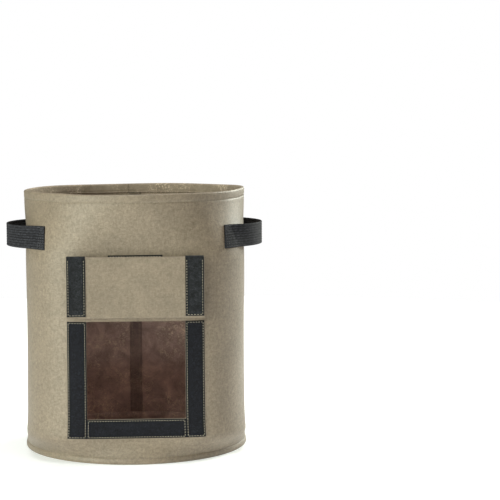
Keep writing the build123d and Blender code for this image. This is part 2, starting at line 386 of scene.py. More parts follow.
def coords(tree, scale=(1, 1, 1)):
    """The object's own coordinates, in metres, times scale."""
    source = tree.nodes.new("ShaderNodeTexCoord")
    mapping = tree.nodes.new("ShaderNodeMapping")
    mapping.inputs["Scale"].default_value = scale
    tree.links.new(source.outputs["Object"], mapping.inputs["Vector"])
    return mapping.outputs["Vector"]


def noise(tree, vector, scale, detail=3.0, rough=0.55, distortion=0.0):
    """A noise texture's value, about 0.5 on average."""
    node = tree.nodes.new("ShaderNodeTexNoise")
    node.inputs["Scale"].default_value = scale
    node.inputs["Detail"].default_value = detail
    node.inputs["Roughness"].default_value = rough
    node.inputs["Distortion"].default_value = distortion
    tree.links.new(vector, node.inputs["Vector"])
    return node.outputs["Fac"]


def ramp(tree, value, stops):
    """A colour ramp of (place, colour) stops over value."""
    node = tree.nodes.new("ShaderNodeValToRGB")
    elements = node.color_ramp.elements
    while len(elements) < len(stops):
        elements.new(0.5)
    for element, (place, colour) in zip(elements, stops):
        element.position = place
        element.color = (*colour, 1) if len(colour) == 3 else colour
    tree.links.new(value, node.inputs["Fac"])
    return node.outputs["Color"]


def math_node(tree, operation, a, b=None, clamp=False):
    """A math node on two sockets or numbers."""
    node = tree.nodes.new("ShaderNodeMath")
    node.operation = operation
    node.use_clamp = clamp
    for socket, value in zip(node.inputs, (a, b)):
        if value is None:
            continue
        if isinstance(value, (int, float)):
            socket.default_value = value
        else:
            tree.links.new(value, socket)
    return node.outputs[0]


def mix(tree, share, a, b, how="MIX"):
    """Two colours mixed by share."""
    node = tree.nodes.new("ShaderNodeMix")
    node.data_type = "RGBA"
    node.blend_type = how
    for socket, value in ((node.inputs[0], share), (node.inputs[6], a), (node.inputs[7], b)):
        if isinstance(value, (int, float)):
            socket.default_value = value
        elif isinstance(value, tuple):
            socket.default_value = (*value, 1)
        else:
            tree.links.new(value, socket)
    return node.outputs[2]


def bump(tree, shader, height, strength, distance):
    """Bump from a height, distance in metres."""
    node = tree.nodes.new("ShaderNodeBump")
    node.inputs["Strength"].default_value = strength
    node.inputs["Distance"].default_value = distance
    tree.links.new(height, node.inputs["Height"])
    tree.links.new(node.outputs["Normal"], shader.inputs["Normal"])


def shades(colour, *factors):
    """The colour at several brightnesses."""
    return [tuple(c * f for c in colour) for f in factors]


def felt_material(name, colour, depth=1.0):
    """Needle-punched felt: cloudy colour, short fibres lying every way, a fine pitted surface."""
    material, tree, shader = principled(name, 0.52, sheen=0.04, sheen_roughness=0.6, specular=0.55)
    plain = coords(tree)
    level = coords(tree, (1, 1, 2.6))
    upright = coords(tree, (2.4, 2.4, 1))
    cloud = noise(tree, plain, 26, 3, 0.6)
    grain = noise(tree, plain, 270, 4, 0.7)
    fibre = noise(tree, level, 180, 5, 0.75, 1.2)
    other = noise(tree, upright, 170, 4, 0.7, 1.0)
    dark, mid, light = shades(colour, 0.9, 1.0, 1.08)
    tone = ramp(tree, cloud, [(0.3, dark), (0.5, mid), (0.72, light)])
    fleck = ramp(tree, fibre, [(0.3, (0.72, 0.7, 0.68)), (0.5, (1, 1, 1)), (0.7, (1.24, 1.25, 1.28))])
    speck = ramp(tree, grain, [(0.3, (0.74, 0.72, 0.7)), (0.5, (1, 1, 1)), (0.7, (1.2, 1.21, 1.24))])
    across = ramp(tree, other, [(0.32, (0.82, 0.8, 0.78)), (0.5, (1, 1, 1)), (0.68, (1.16, 1.17, 1.19))])
    tone = mix(tree, 0.8 * depth, tone, fleck, "MULTIPLY")
    tone = mix(tree, 0.8 * depth, tone, speck, "MULTIPLY")
    tone = mix(tree, 0.8 * depth, tone, across, "MULTIPLY")
    tree.links.new(tone, shader.inputs["Base Color"])
    pits = math_node(tree, "MULTIPLY", grain, 0.5)
    height = math_node(tree, "ADD", math_node(tree, "MULTIPLY", fibre, 0.6), pits)
    height = math_node(tree, "ADD", height, math_node(tree, "MULTIPLY", other, 0.5))
    bump(tree, shader, height, 0.55, 0.0007)
    return material


def lining_material(name, shade=1.0):
    """The felt's brown inside face: taupe near the rim, browner lower down, with pale flecks of fibre. The
    redder, browner tone lower down is painted bounce light: warm colour bleed from light going round inside
    the bag, on one felt.
    """
    material, tree, shader = principled(name, 0.97, sheen=0.08, sheen_roughness=0.7, specular=0.12)
    plain = coords(tree)
    source = tree.nodes.new("ShaderNodeTexCoord")
    split = tree.nodes.new("ShaderNodeSeparateXYZ")
    tree.links.new(source.outputs["Object"], split.inputs[0])
    wander = math_node(tree, "MULTIPLY", noise(tree, plain, 14, 3, 0.6), 0.1)
    level = math_node(tree, "ADD", split.outputs["Z"], wander)
    height = tree.nodes.new("ShaderNodeMapRange")
    height.inputs["From Min"].default_value = 0.22
    height.inputs["From Max"].default_value = 0.39
    tree.links.new(level, height.inputs["Value"])
    cloud = noise(tree, plain, 40, 5, 0.7, 0.5)
    # Two tones of one felt, mixed by height: brown lower down paints warm bounce light deep in the bag, and
    # taupe near the rim.
    brown = [(0.34, (0.24, 0.16, 0.145)), (0.52, (0.36, 0.235, 0.21)), (0.68, (0.52, 0.34, 0.29))]
    taupe = [(0.34, (0.22, 0.16, 0.115)), (0.52, (0.26, 0.19, 0.14)), (0.7, (0.32, 0.24, 0.18))]
    low, high = ramp(tree, cloud, brown), ramp(tree, cloud, taupe)
    tone = mix(tree, height.outputs[0], low, high)
    fleck = ramp(tree, noise(tree, plain, 240, 4, 0.8, 1.4), [(0.52, (0, 0, 0)), (0.64, (1, 1, 1))])
    patch = ramp(tree, noise(tree, plain, 22, 3, 0.6), [(0.4, (0, 0, 0)), (0.62, (1, 1, 1))])
    share = mix(tree, 1.0, fleck, patch, "MULTIPLY")
    tone = mix(tree, share, tone, (0.74, 0.54, 0.4))
    fibre = noise(tree, coords(tree, (1, 1, 2.2)), 420, 5, 0.75, 1.0)
    strands = ramp(tree, fibre, [(0.3, (0.7, 0.7, 0.7)), (0.5, (1, 1, 1)), (0.7, (1.25, 1.22, 1.2))])
    tone = mix(tree, 0.6, tone, strands, "MULTIPLY")
    tone = mix(tree, 1.0, tone, (shade * 0.9, shade, shade), "MULTIPLY")
    tree.links.new(tone, shader.inputs["Base Color"])
    bump(tree, shader, fibre, 0.5, 0.0008)
    return material


def tape_material(name, colour, across, low, high, fuzz):
    """Hook-and-loop tape: a matt fuzzy middle between two smooth woven selvages.

    across is the axis over its width, X or Z, and low and high are its edges there, in metres.
    """
    material, tree, shader = principled(name, 0.8, sheen=0.1, sheen_roughness=0.5, specular=0.16)
    plain = coords(tree)
    source = tree.nodes.new("ShaderNodeTexCoord")
    split = tree.nodes.new("ShaderNodeSeparateXYZ")
    tree.links.new(source.outputs["Object"], split.inputs[0])
    place = math_node(tree, "ABSOLUTE", split.outputs[across])
    from_low, from_high = math_node(tree, "SUBTRACT", place, low), math_node(tree, "SUBTRACT", high, place)
    inside = math_node(tree, "MINIMUM", from_low, from_high)
    middle = tree.nodes.new("ShaderNodeMapRange")
    middle.interpolation_type = "SMOOTHSTEP"
    middle.inputs["From Min"].default_value = 0.0028
    middle.inputs["From Max"].default_value = 0.0046
    tree.links.new(inside, middle.inputs["Value"])
    pile = noise(tree, plain, 380, 5, 0.85, 1.5)
    cloud = noise(tree, plain, 90, 3, 0.6)
    weave = tree.nodes.new("ShaderNodeTexWave")
    weave.inputs["Scale"].default_value = 420
    weave.inputs["Distortion"].default_value = 1.5
    weave.bands_direction = "DIAGONAL"
    tree.links.new(plain, weave.inputs["Vector"])
    dark, mid, light = shades(colour, 0.4, 1.0, 3.4)
    tone = ramp(tree, pile, [(0.36, dark), (0.52, mid), (0.68, light)])
    worn = ramp(tree, cloud, [(0.35, (0.7, 0.7, 0.7)), (0.65, (1.6, 1.6, 1.6))])
    tone = mix(tree, fuzz, tone, worn, "MULTIPLY")
    edge = ramp(tree, weave.outputs["Fac"], [(0.2, dark), (0.8, mid)])
    tone = mix(tree, middle.outputs[0], edge, tone)
    tree.links.new(tone, shader.inputs["Base Color"])
    rough = mix(tree, middle.outputs[0], weave.outputs["Fac"], pile)
    bump(tree, shader, rough, 0.7, 0.0006)
    return material


def webbing_material(name, colour):
    """Polypropylene webbing: glossy yarns with a fine cross weave over the modelled ribs, with painted shade
    in the grooves between the ribs and a painted highlight on their crests.
    """
    material, tree, shader = principled(name, 0.75, sheen=0.02, sheen_roughness=0.4, specular=0.08)
    yarn = noise(tree, coords(tree, (1, 1, 2.5)), 260, 4, 0.7)
    cross = noise(tree, coords(tree, (1, 1, 1)), 900, 2, 0.6, 0.5)
    rib = tree.nodes.new("ShaderNodeAttribute")
    rib.attribute_name = "rib"
    dark, mid, light = shades(colour, 0.6, 1.0, 1.9)
    tone = ramp(tree, yarn, [(0.35, dark), (0.5, mid), (0.66, light)])
    # Painted shade and highlight: the rib attribute darkens the grooves between the ribs to 0.3 and lightens
    # their crests to 1.25.
    painted_groove_shade = ramp(tree, rib.outputs["Fac"], [(0.25, (0.3, 0.3, 0.3)), (0.8, (1.25, 1.25, 1.25))])
    tone = mix(tree, 1.0, tone, painted_groove_shade, "MULTIPLY")
    tree.links.new(tone, shader.inputs["Base Color"])
    bump(tree, shader, math_node(tree, "ADD", yarn, cross), 0.5, 0.0004)
    return material


def thread_material(name, colour, sheen=0.25):
    """Twisted sewing thread."""
    material, tree, shader = principled(name, 0.6, sheen=sheen, sheen_roughness=0.4, specular=0.3)
    twist = noise(tree, coords(tree), 1500, 2, 0.6)
    tone = ramp(tree, twist, list(zip((0.3, 0.5, 0.7), shades(colour, 0.72, 1.0, 1.25))))
    tree.links.new(tone, shader.inputs["Base Color"])
    bump(tree, shader, twist, 0.5, 0.0002)
    return material


KHAKI = (0.212, 0.168, 0.118)
BLACK = (0.006, 0.0065, 0.0095)
HOOK_BLACK = (0.0115, 0.0125, 0.0145)
SIDES = ("X", FLAT_HALF * MM, FRAME_OUTER * MM)
felt = felt_material("felt_outside", KHAKI)
cut_felt = felt_material("felt_cut_edge", (0.40, 0.35, 0.265), 0.7)
lining = lining_material("felt_inside", 1.08)
seam_felt = lining_material("felt_seam_strip", 0.6)
flap_cloth = felt_material("felt_flap", (0.204, 0.162, 0.114), 0.85)
loop_tape = tape_material("loop_tape_sides", BLACK, *SIDES, 0.3)
loop_tape_low = tape_material("loop_tape_bottom", BLACK, "Z", FRAME_BOTTOM * MM, WINDOW_BOTTOM * MM, 0.3)
hook_tape = tape_material("hook_tape_sides", HOOK_BLACK, *SIDES, 0.8)
hook_tape_low = tape_material("hook_tape_hem", HOOK_BLACK, "Z", HEM_TAPE[0] * MM, HEM_TAPE[1] * MM, 0.8)
hook_patch = tape_material("hook_tape_patch", HOOK_BLACK, "Z", PATCH[2][0] * MM, PATCH[2][1] * MM, 0.8)
webbing = webbing_material("webbing_black", (0.021, 0.021, 0.0245))
tan_thread = thread_material("thread_tan", (0.5, 0.45, 0.35))
felt_thread = thread_material("thread_khaki", (0.225, 0.19, 0.135))
dark_thread = thread_material("thread_black", (0.07, 0.072, 0.075), 0.2)


def on_bag(piece, node):
    """The piece stands for the CAD node, whose part it hides, and rides on the bag."""
    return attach(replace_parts(piece, node), "bag")


# ---- the tub -------------------------------------------
WINDOW_T = place_of(FLAT_HALF)
FRAME_T = place_of(FRAME_OUTER)
columns = steps(-0.5, 0.5, 4.4 / ROUND, (-WINDOW_T, WINDOW_T, FRAME_T, -FRAME_T))[:-1]
round_top = np.radians([20, 42, 64, 82])
near_base = [0.6, 1.5, 3] + [BASE_SEAM + d for d in (-1.5, -0.6, 0, 0.7, 1.8)]
near_rim = [RIM_SEAM + d for d in (-2.4, -1.4, -0.7, 0, 0.7, 1.4, 2.4)]
levels = steps(0, HEIGHT - FELT, 4.6, (WINDOW_BOTTOM, WINDOW_TOP, *near_base, *near_rim))
level_z = np.concatenate([levels, HEIGHT - FELT + FELT * np.sin(round_top)])
level_out = np.concatenate([groove(levels), -FELT * (1 - np.cos(round_top))])
outer = surface(columns[:, None], level_z[None, :], level_out[None, :])
inner_out = np.minimum(np.full(len(level_z), -FELT), level_out - 0.15)
inner = surface(columns[:, None], level_z[None, :] - 0.05, inner_out[None, :])
cells = np.ones((len(columns), len(level_z) - 1), bool)
middle_t = (columns + np.append(columns[1:], 0.5)) / 2
middle_z = (level_z[:-1] + level_z[1:]) / 2
cells[np.ix_(np.abs(middle_t) < WINDOW_T, (middle_z > WINDOW_BOTTOM) & (middle_z < WINDOW_TOP))] = False
wall = shell("felt_wall", outer, inner, [felt, lining, cut_felt], cells, wrap=True)
on_bag(wall, "wall_panel")

HEM_JOINT = 0.5 / ROUND
HEM_PLACE = 0.5 + 8.5 / ROUND
turn = np.radians([0, 25, 50, 75, 90])
hem_profile = [(-FELT - FELT * math.sin(a), HEIGHT - FELT + FELT * math.cos(a)) for a in turn]
hem_profile += [(-2 * FELT, z) for z in (345, 342.5, RIM_SEAM + 1.2)]
hem_profile += [(-2 * FELT + 0.45, RIM_SEAM)]
hem_profile += [(-2 * FELT, z) for z in (RIM_SEAM - 1.2, HEM_BOTTOM + 0.7)]
hem_profile += [(-2 * FELT + 0.6, HEM_BOTTOM), (-FELT - 0.05, HEM_BOTTOM), (-FELT - 0.05, HEIGHT - FELT)]
hem = ring_sweep("felt_rim_hem", hem_profile, 210, [lining], HEM_PLACE + HEM_JOINT, 1 + HEM_PLACE - HEM_JOINT)
on_bag(hem, "rim_hem")

base_rings = np.array([0.0, 0.25, 0.5, 0.7, 0.85, 0.95, 1.0])
base_t = np.linspace(0, 1, 145)[:-1]
edge_low = surface(base_t[:, None], 0.0, -FELT - 0.1) * [1, 1, 0]
radial = edge_low * base_rings[None, :, None]
swell = 0.7 * np.sin(radial[..., 0] / 31) * np.cos(radial[..., 1] / 27) * (1 - base_rings[None, :] ** 4)
top_skin = radial + np.stack([0 * swell, 0 * swell, FELT + 0.35 + 0.35 * swell], axis=-1)
base = shell("felt_base", radial, top_skin, [felt, lining, cut_felt], wrap=True)
on_bag(base, "base_panel")

base_profile = [(-FELT - 0.05, FELT + 0.4), (-FELT - 1.4, FELT + 0.5), (-FELT - 1.5, BASE_TAPE_TOP - 0.8)]
base_profile += [(-FELT - 1.1, BASE_TAPE_TOP), (-FELT - 0.05, BASE_TAPE_TOP)]
base_tape = ring_sweep("felt_base_seam", base_profile, 210, [lining])
on_bag(base_tape, "base_seam_tape")

back_u = with_edges(-BACK_TAPE_HALF, BACK_TAPE_HALF, 2.0, 0.8)
back_v = with_edges(BASE_TAPE_TOP + 0.2, HEM_BOTTOM - 0.2, 5.0, 0.8)
lap = 1.5 * crown(back_u, back_v, 0.8)
back_t = 0.5 + back_u / ROUND
back_face = surface(back_t[:, None], back_v[None, :], -FELT - 0.08 - lap)
back_skin = surface(back_t[:, None], back_v[None, :], -FELT + 0.1)
back_tape = shell("felt_back_seam", back_skin, back_face, [seam_felt] * 3)
on_bag(back_tape, "back_seam_tape")


# ---- tapes round the window and under the flap ---------
def wall_tape(name, x, z, material, node, slot):
    """A tape sewn on the wall over x by z."""
    u, v = with_edges(x[0], x[1], 3.0), with_edges(z[0], z[1], 4.5)
    lift = (TAPE_THICK - 0.15) * crown(u, v) + 0.15
    outside = surface(place_of(u)[:, None], v[None, :], lift)
    inside = surface(place_of(u)[:, None], v[None, :], -0.02)
    piece = shell(name, outside, inside, [material] * 3)
    on_bag(piece, node)


FRAME_LEFT = ((-FRAME_OUTER, -FLAT_HALF), (FRAME_BOTTOM, WINDOW_TOP))
FRAME_RIGHT = ((FLAT_HALF, FRAME_OUTER), (FRAME_BOTTOM, WINDOW_TOP))
FRAME_LOW = ((-FLAT_HALF, FLAT_HALF), (FRAME_BOTTOM, WINDOW_BOTTOM))
wall_tape("window_tape_left", *FRAME_LEFT, loop_tape, "frame_tape_left", "loop_tape")
wall_tape("window_tape_right", *FRAME_RIGHT, loop_tape, "frame_tape_right", "loop_tape")
wall_tape("window_tape_bottom", *FRAME_LOW, loop_tape_low, "frame_tape_bottom", "loop_tape")
wall_tape("hold_open_tape", PATCH[0], PATCH[2], hook_patch, "hold_open_patch", "hook_tape")


def round_tape(x, z):
    """Four straight runs just inside a tape over x by z, on its outer face."""
    x, z = (x[0] + TAPE_SEAM_IN, x[1] - TAPE_SEAM_IN), (z[0] + TAPE_SEAM_IN, z[1] - TAPE_SEAM_IN)
    across, up = np.linspace(*x, 60), np.linspace(*z, 60)
    level = [wall_run(place_of(across), height, TAPE_THICK) for height in z]
    return level + [wall_run(place_of(side), up, TAPE_THICK) for side in x]


runs = round_tape(*FRAME_LEFT) + round_tape(*FRAME_RIGHT) + round_tape(*FRAME_LOW)
sewn = stitches("window_tape_stitches", runs, tan_thread, proud=0.2)
on_bag(sewn, "frame_stitching")
sewn = stitches("hold_open_stitches", round_tape(PATCH[0], PATCH[2]), tan_thread)
on_bag(sewn, "patch_stitching")


def felt_seam(name, runs, node):
    """The khaki thread of one of the tub's own seams, in longer stitches."""
    on_bag(stitches(name, runs, felt_thread, pitch=3.9, length=2.8, width=0.6), node)


ring_t = np.linspace(0, 1, 1801)
felt_seam("rim_stitches", [wall_run(ring_t, RIM_SEAM, -0.5)], "rim_stitching")
felt_seam("base_stitches", [wall_run(ring_t, BASE_SEAM, -0.05)], "base_stitching")
back_places = [0.5 + side * BACK_SEAM_OUT / ROUND for side in (-1, 1)]
up = np.linspace(BASE_SEAM + 3, RIM_SEAM - 3, 400)
back_runs = [wall_run(place, up, 0.0) for place in back_places]
up = np.linspace(BASE_TAPE_TOP + 2, HEM_BOTTOM - 2, 400)
back_runs += [wall_run(place, up, -FELT - 1.55, -1) for place in back_places]
felt_seam("back_seam_stitches", back_runs, "back_seam_stitching")

# ---- the flap ------------------------------------------
# Its felt follows one line of (distance out from the flat front, height), seen from the side.
ROOT_AT = 1.0
ROOT_LEVEL = 198.0
UPPER_AT = -FRONT - sum(UPPER[1]) / 2
MIDDLE_AT = -FRONT - sum(MIDDLE[1]) / 2
LOWER_AT = -FRONT - sum(LOWER[1]) / 2
HALF_FELT = 1.0
TURN = 1.3
PAST_PLATE = 1.0


def bend(centre, radius, start, stop, count=7):
    """Points on an arc in the side view, angles in degrees from the outward direction towards up."""
    angles = np.radians(np.linspace(start, stop, count))
    return [(centre[0] + radius * math.cos(a), centre[1] + radius * math.sin(a)) for a in angles]


def upright(distance, low, high):
    """Points up or down one plate."""
    return [(distance, z) for z in np.linspace(low, high, max(2, int(abs(high - low) / 4)))]


top_radius = (UPPER_AT - MIDDLE_AT) / 2
split_upper = (UPPER[2][0] + UPPER[2][1]) / 2
split_middle = (MIDDLE[2][0] + MIDDLE[2][1]) / 2
first = upright(ROOT_AT, ROOT[1], ROOT[0] + 0.3)
first += bend((ROOT_AT + TURN, ROOT[0]), TURN, 180, 270)
first += [(x, ROOT[0] - TURN) for x in np.linspace(ROOT_AT + TURN, UPPER_AT - TURN, 8)[1:-1]]
first += bend((UPPER_AT - TURN, ROOT[0]), TURN, -90, 0)
first += upright(UPPER_AT, ROOT[0] + 1, split_upper)
second = upright(UPPER_AT, split_upper, UPPER[2][1] - 0.5)
second += bend(((UPPER_AT + MIDDLE_AT) / 2, UPPER[2][1]), top_radius, 0, 180, 11)
second += upright(MIDDLE_AT, UPPER[2][1] - 0.5, split_middle)
third = upright(MIDDLE_AT, split_middle, MIDDLE[2][0] + 0.5)
third += bend((MIDDLE_AT - TURN, MIDDLE[2][0]), TURN, 0, -90)
third += [(x, MIDDLE[2][0] - TURN) for x in np.linspace(MIDDLE_AT - TURN, LOWER_AT + TURN, 6)[1:-1]]
third += bend((LOWER_AT + TURN, MIDDLE[2][0]), TURN, 270, 180)
third += upright(LOWER_AT, MIDDLE[2][0] + 1, LOWER[2][1])


def wavy(x, z, distance):
    """The unevenness of the flap's outermost face. Its inner faces lie flat on one another."""
    slow = 0.5 * np.sin(x / 29.0 + 0.6) * np.sin(z / 31.0) + 0.22 * np.sin(x / 13.0 - z / 19.0)
    return slow * smoothstep(UPPER_AT - 0.6, UPPER_AT + 0.9, distance)


def flap_points(line, x, out, root=False):
    """A grid over line and x, out from the felt's middle on the side that faces outwards at rest.

    The root hugs the wall, and eases away from it along the fold below.
    """
    line = np.asarray(line, float)
    ahead = np.gradient(line, axis=0)
    ahead /= np.linalg.norm(ahead, axis=1)[:, None]
    away = np.stack([ahead[:, 1], -ahead[:, 0]], axis=1)
    out = np.broadcast_to(out, (len(line), len(x)))
    distance = line[:, :1] + away[:, :1] * out
    z = line[:, 1:] + away[:, 1:] * out
    z = np.broadcast_to(z, distance.shape)
    wide = np.broadcast_to(np.asarray(x)[None, :], distance.shape)
    near = np.clip(1 - (line[:, :1] - ROOT_AT) / 4.0, 0, 1) if root else 0.0
    behind = surface(place_of(wide), ROOT_LEVEL, 0.0)[..., 1]
    y = near * behind + (1 - near) * -FRONT - distance - wavy(wide, z, distance)
    return np.stack([wide, y, z], axis=-1)


def flap_sheet(name, line, x, thick, out, materials, ends=(False, False), root=False):
    """A strip of the flap along line, x wide, with its middle out from it.

    ends says which ends of the line are cut edges, to be rounded off.
    """
    line = np.asarray(line, float)
    u = np.concatenate([[0], np.cumsum(np.linalg.norm(np.diff(line, axis=0), axis=1))])
    side = np.minimum(x - x.min(), x.max() - x)[None, :]
    from_end = np.full(len(u), 9.0)
    if ends[0]:
        from_end = np.minimum(from_end, u)
    if ends[1]:
        from_end = np.minimum(from_end, u[-1] - u)
    share = np.clip(np.minimum(side, from_end[:, None]) / 0.8, 0, 1)
    round_off = 0.45 + 0.55 * np.sqrt(1 - (1 - share) ** 2)
    outside = flap_points(line, x, out + thick / 2 * round_off, root)
    inside = flap_points(line, x, out - thick / 2 * round_off, root)
    return shell(name, outside[::-1], inside[::-1], materials)


felt_x = with_edges(-FLAP_HALF, FLAP_HALF, 4.5, 0.8)
flap_felts = (felt_x, 2 * HALF_FELT, 0, [flap_cloth, flap_cloth, cut_felt])
flap_1 = flap_sheet("flap_felt_hinge", first, *flap_felts, (True, False), True)
flap_2 = flap_sheet("flap_felt_top", second, *flap_felts)
flap_3 = flap_sheet("flap_felt_end", third, *flap_felts, (False, True))


def at(distance):
    """The y of a distance out from the flat front, in metres."""
    return (-FRONT - distance) * MM


def finish_piece(piece, slot, nodes, bodies, start=None, end=None):
    """Hides the replaced nodes and parents the piece to its one body; a piece given two bodies only has its
    transform baked. slot is not used.
    """
    if nodes:
        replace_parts(piece, *nodes)
    if len(bodies) == 1:
        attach(piece, bodies[0])
    else:
        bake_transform(piece)


AT_HINGE = (("bag", "flap_upper"), 2.2, 9.6)
AT_TOP = (("flap_upper", "flap_middle"), UPPER_AT - PAST_PLATE, MIDDLE_AT + PAST_PLATE)
AT_END = (("flap_middle", "flap_lower"), MIDDLE_AT - PAST_PLATE, LOWER_AT + PAST_PLATE)
finish_piece(flap_1, "flap_felt", ["flap_root", "flap_upper_felt"], *AT_HINGE)
finish_piece(flap_2, "flap_felt", ["flap_middle_felt"], *AT_TOP)
finish_piece(flap_3, "flap_felt", ["flap_lower_felt"], *AT_END)

TAPE_OUT = HALF_FELT + TAPE_THICK / 2
tape_from = MIDDLE_AT - TAPE_OUT - TAPE_THICK / 2
tape_to = LOWER_AT + TAPE_OUT + TAPE_THICK / 2
for side_name, side in (("left", -1), ("right", 1)):
    tape_x = with_edges(*sorted((side * FLAT_HALF, side * (FLAP_HALF - 0.6))), 3.0)
    inner_turn = ((MIDDLE_AT - TAPE_OUT) - (LOWER_AT + TAPE_OUT)) / 2
    centre = (MIDDLE_AT - TAPE_OUT + LOWER_AT + TAPE_OUT) / 2
    behind = upright(MIDDLE_AT - TAPE_OUT, split_middle, MIDDLE[2][0] + 2)
    behind += bend((centre, MIDDLE[2][0] + 1.5), inner_turn, 0, -180, 7)
    behind += upright(LOWER_AT + TAPE_OUT, MIDDLE[2][0] + 2, LOWER[2][1] - 1.2)
    low = upright(UPPER_AT, ROOT[0] + 0.6, split_upper)
    low = [low[0], (UPPER_AT, low[0][1] + 0.25), (UPPER_AT, low[0][1] + 0.7), *low[1:]]
    tape, name = [hook_tape] * 3, f"flap_tape_{side_name}"
    one = flap_sheet(f"{name}_low", low, tape_x, TAPE_THICK, TAPE_OUT, tape, (True, False))
    two = flap_sheet(f"{name}_top", second, tape_x, TAPE_THICK, TAPE_OUT, tape)
    three = flap_sheet(f"{name}_end", behind, tape_x, TAPE_THICK, 0.0, tape, (False, True))
    finish_piece(one, "hook_tape", [f"flap_upper_tape_{side_name}"], ("flap_upper",))
    finish_piece(two, "hook_tape", [f"flap_middle_tape_{side_name}"], *AT_TOP)
    finish_piece(three, "hook_tape", [f"flap_lower_tape_{side_name}"], AT_END[0], tape_from, tape_to)

hem_x = with_edges(-FLAT_HALF + 0.3, FLAT_HALF - 0.3, 4.0)
hem_line = upright(LOWER_AT, *HEM_TAPE)
hem_line = [hem_line[0], (LOWER_AT, HEM_TAPE[0] + 0.25), (LOWER_AT, HEM_TAPE[0] + 0.7), *hem_line[1:-1]]
hem_line += [(LOWER_AT, HEM_TAPE[1] - 0.7), (LOWER_AT, HEM_TAPE[1] - 0.25), (LOWER_AT, HEM_TAPE[1])]
low_tape = [hook_tape_low] * 3
hem_tape = flap_sheet("flap_tape_hem", hem_line, hem_x, TAPE_THICK, TAPE_OUT, low_tape, (True, True))
finish_piece(hem_tape, "hook_tape", ["flap_hem_tape"], ("flap_lower",))


def flap_run(line, x, out, side=1):
    """A run for stitches() up the flap at x, or across it over several x at the middle of line.

    side is -1 on its other face.
    """
    x = np.atleast_1d(np.asarray(x, float))
    here, further = flap_points(line, x, out), flap_points(line, x, out + side)
    if len(x) == 1:
        return here[:, 0], (further - here)[:, 0]
    return here[len(here) // 2], (further - here)[len(here) // 2]


def level_line(distance, z):
    """Three points up a plate, so that a run across it has a direction."""
    return [(distance, z - 1), (distance, z), (distance, z + 1)]


outer_face = HALF_FELT + TAPE_THICK
tape_edges = [side * x for side in (-1, 1) for x in (FLAT_HALF + TAPE_SEAM_IN, FLAP_HALF - 2.5)]
upper_line = upright(UPPER_AT, ROOT[0] + 2.2, UPPER[2][1] - 1.5)
runs = [flap_run(upper_line, x, outer_face) for x in tape_edges]
for side in (-1, 1):
    tape_across = np.linspace(*sorted((side * (FLAT_HALF + 2), side * (FLAP_HALF - 2.6))), 9)
    runs.append(flap_run(level_line(UPPER_AT, ROOT[0] + 2.4), tape_across, outer_face))
runs += [flap_run(upper_line, x, -HALF_FELT, -1) for x in tape_edges]
sewn = stitches("flap_stitches_upper", runs, tan_thread)
finish_piece(sewn, "thread", ["flap_upper_stitching"], ("flap_upper",))
middle_line = upright(MIDDLE_AT, MIDDLE[2][1] - 1.5, MIDDLE[2][0] + 3)
runs = [flap_run(middle_line, x, outer_face) for x in tape_edges]
runs += [flap_run(middle_line, x, -HALF_FELT, -1) for x in tape_edges]
sewn = stitches("flap_stitches_middle", runs, tan_thread, proud=0.2)
finish_piece(sewn, "thread", ["flap_middle_stitching"], ("flap_middle",))
lower_line = upright(LOWER_AT, MIDDLE[2][0] + 3, LOWER[2][1] - 2.4)
runs = [flap_run(lower_line, x, outer_face) for x in tape_edges]
hem_across = np.linspace(-FLAT_HALF + 2, FLAT_HALF - 2, 40)
hem_levels = (HEM_TAPE[0] + TAPE_SEAM_IN, HEM_TAPE[1] - TAPE_SEAM_IN)
runs += [flap_run(level_line(LOWER_AT, z), hem_across, outer_face) for z in hem_levels]
runs += [flap_run(lower_line, x, -HALF_FELT, -1) for x in tape_edges]
runs += [flap_run(level_line(LOWER_AT, z), hem_across, -HALF_FELT, -1) for z in hem_levels]
sewn = stitches("flap_stitches_lower", runs, tan_thread, proud=0.2)
finish_piece(sewn, "thread", ["flap_lower_stitching"], ("flap_lower",))
root_x = np.linspace(-FLAP_HALF + 2, FLAP_HALF - 2, 90)
runs = [wall_run(place_of(root_x), FLAP_SEAM, 2 * HALF_FELT)]
on_bag(stitches("flap_seam_stitches", runs, tan_thread), "flap_seam_stitching")


# ---- the handles ---------------------------------------
WEBBING_HALF = 0.9
WEBBING_ACROSS = (HANDLE[2][1] - HANDLE[2][0]) / 2 - 0.35
HANDLE_ROOT = 136.0
HANDLE_ROOT_HALF = 71.5


